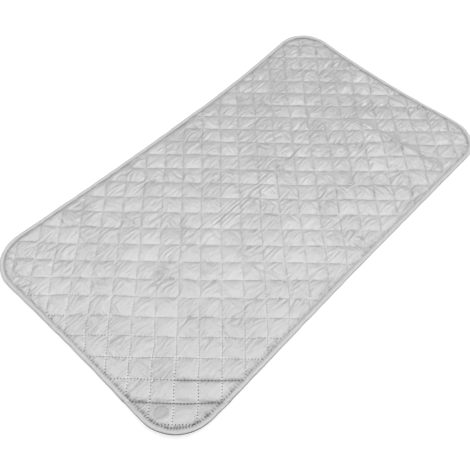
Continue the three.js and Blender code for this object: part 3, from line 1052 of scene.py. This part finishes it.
def ring_faces(columns, count):
    """Faces of a closed section carried round a closed loop."""
    here = np.arange(columns)[:, None] * count
    ahead = np.roll(np.arange(columns), -1)[:, None] * count
    spot = np.arange(count)
    after = (spot + 1) % count
    return np.stack([here + spot, ahead + spot, ahead + after, here + after], -1).reshape(-1, 4)


def add_binding(material, thread_material):
    """The tape folded round the edge, and the row of stitches that holds it."""
    inset, height = binding_rings()
    places = EDGE_POINTS[:, None] + EDGE_INWARD[:, None] * inset[..., None]
    points = np.dstack([places, height]).reshape(-1, 3)
    faces = ring_faces(*height.shape)
    binding = add_mesh("binding", points, faces, material, "edge_binding")
    painted_shading = np.zeros(height.shape)
    # painted shade in the groove at the stitches, darker on the far sides
    far_side = smooth_step(EDGE_INWARD @ np.array(FAR_WAY[:2]), 0.5, -0.5)
    painted_shading[:, :GROOVE_POINT + 2] = (GROOVE_SHADE * (GROOVE_NEAR + (1 - GROOVE_NEAR) * far_side))[:, None]
    # painted shade on the lower half of the nose, darkest at the near left corner
    painted_shading[:, NOSE_POINTS] = (NOSE_SHADE + NOSE_CORNER * near_corner(EDGE_POINTS, -1))[:, None]
    # painted shade in the binding's needle holes
    painted_shading[::COLUMNS_PER_STITCH, GROOVE_POINT - 1:GROOVE_POINT + 2] = 1
    mark(binding, "painted_shading", painted_shading.ravel())
    row = np.column_stack([places[:, GROOVE_POINT], height[:, GROOVE_POINT]])
    starts = np.arange(BINDING_STITCHES) * COLUMNS_PER_STITCH
    path = row[(starts[:, None] + np.arange(COLUMNS_PER_STITCH + 1)) % EDGE_COLUMNS]
    arch = np.array([0, 0, 1.0]) * THREAD_ARCH[:, None]
    add_threads("binding_stitches", path + arch, thread_material, "binding_thread")
    under = path.copy()
    under[..., 2] = UNDER_GROOVE - THREAD_RADIUS
    add_threads("binding_bobbin_stitches", under - UNDER_ARCH * arch, thread_material)


def add_magnets(material):
    """Flat round magnets with bevelled rims, in the corners."""
    ring = circle(MAGNET_SIDES)
    for node in MAGNET_NODES:
        low, high = (np.array(corner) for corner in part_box(node))
        radius = (high[0] - low[0]) / 2
        section = (
            (radius - MAGNET_BEVEL, low[2]),
            (radius, low[2] + MAGNET_BEVEL),
            (radius, high[2] - MAGNET_BEVEL),
            (radius - MAGNET_BEVEL, high[2]),
        )
        points = [np.column_stack([(low + high)[:2] / 2 + reach * ring, np.full(MAGNET_SIDES, height)])
                  for reach, height in section]
        faces = tube_faces(1, len(section), MAGNET_SIDES)
        add_mesh(f"{node}_disc", np.vstack(points), faces, material, node, smooth=False)


# Materials: each has its darkest and its lightest tone
SILVER_TONES = ((0.49, 0.49, 0.493), (0.565, 0.565, 0.568))
WADDING_TONES = ((0.78, 0.77, 0.74), (0.86, 0.85, 0.82))
BACKING_TONES = ((0.48, 0.48, 0.475), (0.56, 0.56, 0.55))
TAPE_TONES = ((0.44, 0.44, 0.445), (0.52, 0.52, 0.525))
THREAD_TONES = ((0.68, 0.68, 0.685), (0.80, 0.80, 0.80))
FERRITE_TONES = ((0.045, 0.045, 0.048), (0.09, 0.09, 0.095))
# Darkest share of each colour that the painted shading and the painted needle-hole shade leave
SILVER_SHADING_DARKEST = 0.06
WOVEN_SHADING_DARKEST = 0.25
THREAD_SHADING_DARKEST = 0.1
BAND_SCALE = math.pi / 10
SILVER_WEAVE = 0.0004
THREAD_TWIST = 0.0005
WRINKLE_TURNS = (0.05, 1.5)


def put(tree, socket, value):
    """Joins a node's output to a socket, or sets the socket to a value."""
    if isinstance(value, bpy.types.NodeSocket):
        tree.links.new(value, socket)
    else:
        socket.default_value = value


def node_adder(tree):
    """A function that adds a node, joins or sets its inputs, and returns one of its outputs."""
    def add(kind, output, numbered=(), **named):
        node = tree.nodes.new("ShaderNode" + kind)
        for name, value in named.items():
            if name in node.bl_rna.properties:
                setattr(node, name, value)
            else:
                put(tree, node.inputs[name.replace("_", " ")], value)
        for number, value in numbered:
            put(tree, node.inputs[number], value)
        return node.outputs[output]

    return add


def new_material(name):
    """An empty material, and a function that adds a node to it."""
    material = bpy.data.materials.new(name)
    material.use_nodes = True
    return material, node_adder(material.node_tree)


def dressed(material, **inputs):
    """A material with these values and nodes on its shader."""
    shader = material.node_tree.nodes["Principled BSDF"]
    for name, value in inputs.items():
        put(material.node_tree, shader.inputs[name.replace("_", " ")], value)
    return material


def toned(add, share, tones):
    """A colour between two tones."""
    colour = add("ValToRGB", "Color", Fac=share)
    for element, tone in zip(colour.node.color_ramp.elements, tones):
        element.color = (*tone, 1)
    return colour


def weave_height(add, place, pitch):
    """Height of a plain weave with that many metres from thread to thread."""
    bands = [add("TexWave", "Fac", Vector=place, wave_type="BANDS", bands_direction=direction,
                 Scale=BAND_SCALE / pitch, Distortion=0.4) for direction in ("X", "Y")]
    return add("Math", "Value", enumerate(bands), operation="MULTIPLY")


def with_painted_shading(add, colour, darkest):
    """A colour darkened by the painted shade marked on its piece, and lightened by painted highlight where
    that mark is below zero.
    """
    painted_shading = add("Attribute", "Fac", attribute_name="painted_shading")
    shade = add("MapRange", "Result", Value=painted_shading, clamp=False, To_Min=1.0, To_Max=darkest)
    return darkened(add, colour, shade)


def darkened(add, colour, shade):
    """A colour times a shade."""
    return add("Mix", 2, [(0, 1.0), (6, colour), (7, shade)], data_type="RGBA", blend_type="MULTIPLY")


def to_nearest(add, place, pitch):
    """Distance to the nearest whole number of pitches."""
    return add("Math", "Value", [(0, place), (1, pitch / 2)], operation="PINGPONG")


def needle_holes(add, darkest):
    """1 between the needle holes of the quilting, and painted shade inside them, down to darkest."""
    places = [add("Attribute", "Fac", attribute_name=name) for name in ("quilt_a", "quilt_b")]
    away = []
    for ahead, aside in (places, places[::-1]):
        both = add("CombineXYZ", "Vector", X=to_nearest(add, ahead, STITCH),
                   Y=to_nearest(add, aside, CELL_SIDE))
        away.append(add("VectorMath", "Value", [(0, both)], operation="LENGTH"))
    nearest = add("Math", "Value", enumerate(away), operation="MINIMUM")
    return add("MapRange", "Result", Value=nearest, From_Min=HOLE_RADIUS, From_Max=HOLE_REACH,
               To_Min=darkest, To_Max=1.0)


def crease_lines(add, place, direction, amount, normal):
    """Long wandering crease lines, where the piece is marked as creased."""
    lines = add("TexWave", "Fac", Vector=place, wave_type="BANDS", bands_direction=direction,
                Scale=BAND_SCALE / FOLD_MARK_PITCH, Distortion=2.5, Detail=1.0, Detail_Scale=0.3)
    creased = add("Attribute", "Fac", attribute_name=amount)
    return add("Bump", "Normal", Height=lines, Normal=normal, Strength=creased, Distance=0.0008)


def wrinkles(add, place, turn):
    """Fine ridges that mostly run in one direction."""
    stretched = add("Mapping", "Vector", Vector=place, vector_type="TEXTURE",
                    Rotation=(0.0, 0.0, turn), Scale=(3.5, 1.0, 1.0))
    return add("TexNoise", "Fac", Vector=stretched, noise_type="RIDGED_MULTIFRACTAL", Scale=130.0,
               Detail=3.0, Roughness=0.5, Distortion=0.3, Offset=1.0, Gain=2.0)


def silver_cloth():
    """Cotton with a soft aluminium coating: fine weave, fine crinkles, painted shade in its needle holes
    and the painted shading marked on it.
    """
    material, add = new_material("silver_cloth")
    place = add("TexCoord", "Object")
    cloud = add("TexNoise", "Fac", Vector=place, Scale=28.0, Detail=6.0, Roughness=0.65)
    colour = with_painted_shading(add, toned(add, cloud, SILVER_TONES), SILVER_SHADING_DARKEST)
    colour = darkened(add, colour, needle_holes(add, SILVER_SHADING_DARKEST))
    rough = add("MapRange", "Result", Value=cloud, To_Min=0.36, To_Max=0.46)
    weave = weave_height(add, place, SILVER_WEAVE)
    fine = add("Bump", "Normal", Height=weave, Strength=0.25, Distance=0.00006)
    grain = add("TexNoise", "Fac", Vector=place, Scale=480.0, Detail=4.0, Roughness=0.6)
    rubbed = add("Bump", "Normal", Height=grain, Normal=fine, Strength=0.6, Distance=0.0014)
    patches = add("TexNoise", "Fac", Vector=place, Scale=22.0, Detail=1.0)
    turned = add("MapRange", "Result", Value=patches, From_Min=0.50, From_Max=0.62)
    first, second = (wrinkles(add, place, turn) for turn in WRINKLE_TURNS)
    ridges = add("Mix", 0, [(0, turned), (2, first), (3, second)])
    crumpled = add("Attribute", "Fac", attribute_name="crumple")
    worn = add("Bump", "Normal", Height=ridges, Normal=rubbed, Strength=crumpled, Distance=0.0016)
    along = crease_lines(add, place, "Y", "creased_along", worn)
    across = crease_lines(add, place, "X", "creased_across", along)
    return dressed(material, Base_Color=colour, Roughness=rough, Normal=across, Metallic=0.65)


def woven(name, tones, roughness, pitch, depth, metallic=0.0):
    """Plain woven cloth with a little variation in its colour, and painted shading where its piece is
    marked.
    """
    material, add = new_material(name)
    place = add("TexCoord", "Object")
    cloud = add("TexNoise", "Fac", Vector=place, Scale=90.0, Detail=6.0, Roughness=0.7)
    colour = with_painted_shading(add, toned(add, cloud, tones), WOVEN_SHADING_DARKEST)
    weave = weave_height(add, place, pitch)
    bump = add("Bump", "Normal", Height=weave, Strength=0.5, Distance=depth)
    lint = add("Bump", "Normal", Height=cloud, Normal=bump, Strength=0.4, Distance=0.0005)
    return dressed(material, Base_Color=colour, Normal=lint, Roughness=roughness, Metallic=metallic)


def spun_thread():
    """Twisted polyester sewing thread."""
    material, add = new_material("sewing_thread")
    place = add("TexCoord", "Object")
    twist = add("TexWave", "Fac", Vector=place, bands_direction="DIAGONAL",
                Scale=BAND_SCALE / THREAD_TWIST, Distortion=1.0)
    colour = with_painted_shading(add, toned(add, twist, THREAD_TONES), THREAD_SHADING_DARKEST)
    bump = add("Bump", "Normal", Height=twist, Strength=0.5, Distance=0.00008)
    return dressed(material, Base_Color=colour, Normal=bump, Roughness=0.5)


def ferrite():
    """Sintered ferrite: dark grey, faintly grainy."""
    material, add = new_material("ferrite")
    grain = add("TexNoise", "Fac", Vector=add("TexCoord", "Object"), Scale=900.0, Detail=4.0)
    bump = add("Bump", "Normal", Height=grain, Strength=0.3, Distance=0.0001)
    colour = toned(add, grain, FERRITE_TONES)
    return dressed(material, Base_Color=colour, Normal=bump, Roughness=0.45, Metallic=0.6)


# Floor, light and camera
FLOOR_HALF = 8.0
FLOOR_HEIGHT = -0.0001
FLOOR_GREY = 0.38
FLOOR_GLOW = 0.72
SURROUND_NEAR = 0.06
SURROUND_FAR = 0.42
SURROUND_TURN = 0.5
FAR_WAY = (0.738, 0.674, 0.0)
HORIZON = 0.9
HORIZON_TOP = 0.10
HORIZON_FADE = 0.17
BOX_PLACE = Vector((0.65, 0.57, 4.5))
BOX_TURN = math.radians(-47.6)

# Soft boxes: name, place to the right of the middle, size and power
SOFT_BOXES = (
    ("soft_box", 0.0, (14.0, 7.0), 438.0),
    ("soft_box_left", -3.5, (4.0, 3.5), 75.0),
    ("soft_box_right", 3.5, (4.0, 3.5), 115.0),
)


def seen_ray(add):
    """1 for the rays that show a surface itself: straight ones, and those by way of gloss or glass."""
    seen = add("LightPath", "Is Camera Ray")
    for kind in ("Is Glossy Ray", "Is Transmission Ray"):
        seen = add("Math", "Value", [(0, seen), (1, add("LightPath", kind))], operation="MAXIMUM")
    return seen


def add_floor():
    """A white floor that keeps the pad's shadow."""
    material, add = new_material("floor")
    glow = add("Math", "Value", [(0, seen_ray(add)), (1, FLOOR_GLOW)], operation="MULTIPLY")
    dressed(material, Base_Color=(FLOOR_GREY, FLOOR_GREY, FLOOR_GREY, 1), Roughness=0.9,
            Specular_IOR_Level=0.0, Emission_Color=(1, 1, 1, 1), Emission_Strength=glow)
    corners = [(x * FLOOR_HALF, y * FLOOR_HALF, FLOOR_HEIGHT)
               for x, y in ((-1, -1), (1, -1), (1, 1), (-1, 1))]
    mesh = bpy.data.meshes.new("floor")
    mesh.from_pydata(corners, [], [(0, 1, 2, 3)])
    mesh.materials.append(material)
    floor = bpy.data.objects.new("floor", mesh)
    bpy.context.scene.collection.objects.link(floor)


def add_soft_box(name, offset, size, power):
    """A lamp that faces down, so far to the right of the middle."""
    lamp = bpy.data.lights.new(name, "AREA")
    lamp.shape = "RECTANGLE"
    lamp.size, lamp.size_y = size
    lamp.energy = power
    box = bpy.data.objects.new(name, lamp)
    box.location = BOX_PLACE + offset * Vector((math.cos(BOX_TURN), math.sin(BOX_TURN), 0))
    box.rotation_euler = (0, 0, BOX_TURN)
    bpy.context.scene.collection.objects.link(box)


def add_surround():
    """A surround that is dark on the near side, paler on the far side and palest at the horizon."""
    world = bpy.data.worlds.new("studio")
    world.use_nodes = True
    bpy.context.scene.world = world
    add = node_adder(world.node_tree)
    place = add("TexCoord", "Generated")
    ahead = add("VectorMath", "Value", [(0, place), (1, FAR_WAY)], operation="DOT_PRODUCT")
    wall = add("MapRange", "Result", Value=ahead, From_Min=-SURROUND_TURN, From_Max=SURROUND_TURN,
               To_Min=SURROUND_NEAR, To_Max=SURROUND_FAR)
    rise = add("SeparateXYZ", "Z", Vector=place)
    level = add("MapRange", "Result", interpolation_type="SMOOTHSTEP", Value=rise,
                From_Min=HORIZON_TOP, From_Max=HORIZON_FADE, To_Min=HORIZON, To_Max=wall)
    background = world.node_tree.nodes["Background"]
    put(world.node_tree, background.inputs["Strength"], level)
    background.inputs["Color"].default_value = (1, 1, 1, 1)


def add_light():
    """Soft boxes overhead and to both sides."""
    add_surround()
    for box in SOFT_BOXES:
        add_soft_box(*box)


def add_camera():
    """A camera at the photograph's place, tilted as the photograph is."""
    lens = bpy.data.cameras.new("camera")
    lens.lens = CAMERA_LENS
    lens.sensor_width = SENSOR
    camera = bpy.data.objects.new("camera", lens)
    look = (CAMERA_AIM - CAMERA_EYE).to_track_quat("-Z", "Y").to_matrix().to_4x4()
    camera.matrix_world = Matrix.Translation(CAMERA_EYE) @ look @ Matrix.Rotation(CAMERA_ROLL, 4, "Z")
    bpy.context.scene.collection.objects.link(camera)
    bpy.context.scene.camera = camera


def main():
    """Dresses the pad and lights it."""
    bpy.context.scene.view_settings.view_transform = "Standard"
    add_camera()
    add_light()
    add_floor()
    thread = spun_thread()
    surface = cover_surface()
    add_cover(surface, silver_cloth())
    add_wadding(surface, woven("wadding_fibre", WADDING_TONES, roughness=0.95, pitch=0.0015, depth=0.0002))
    add_backing(woven("backing_cotton", BACKING_TONES, roughness=0.85, pitch=0.0006, depth=0.00015))
    cover_tree = BVHTree.FromPolygons(surface[0].tolist(), surface[1].tolist())
    add_quilting("a", ALONG_A, ALONG_B, cover_tree, thread)
    add_quilting("b", ALONG_B, ALONG_A, cover_tree, thread)
    tape = woven("binding_tape", TAPE_TONES, roughness=0.5, pitch=0.0007, depth=0.00012, metallic=0.4)
    add_binding(tape, thread)
    add_magnets(ferrite())


main()
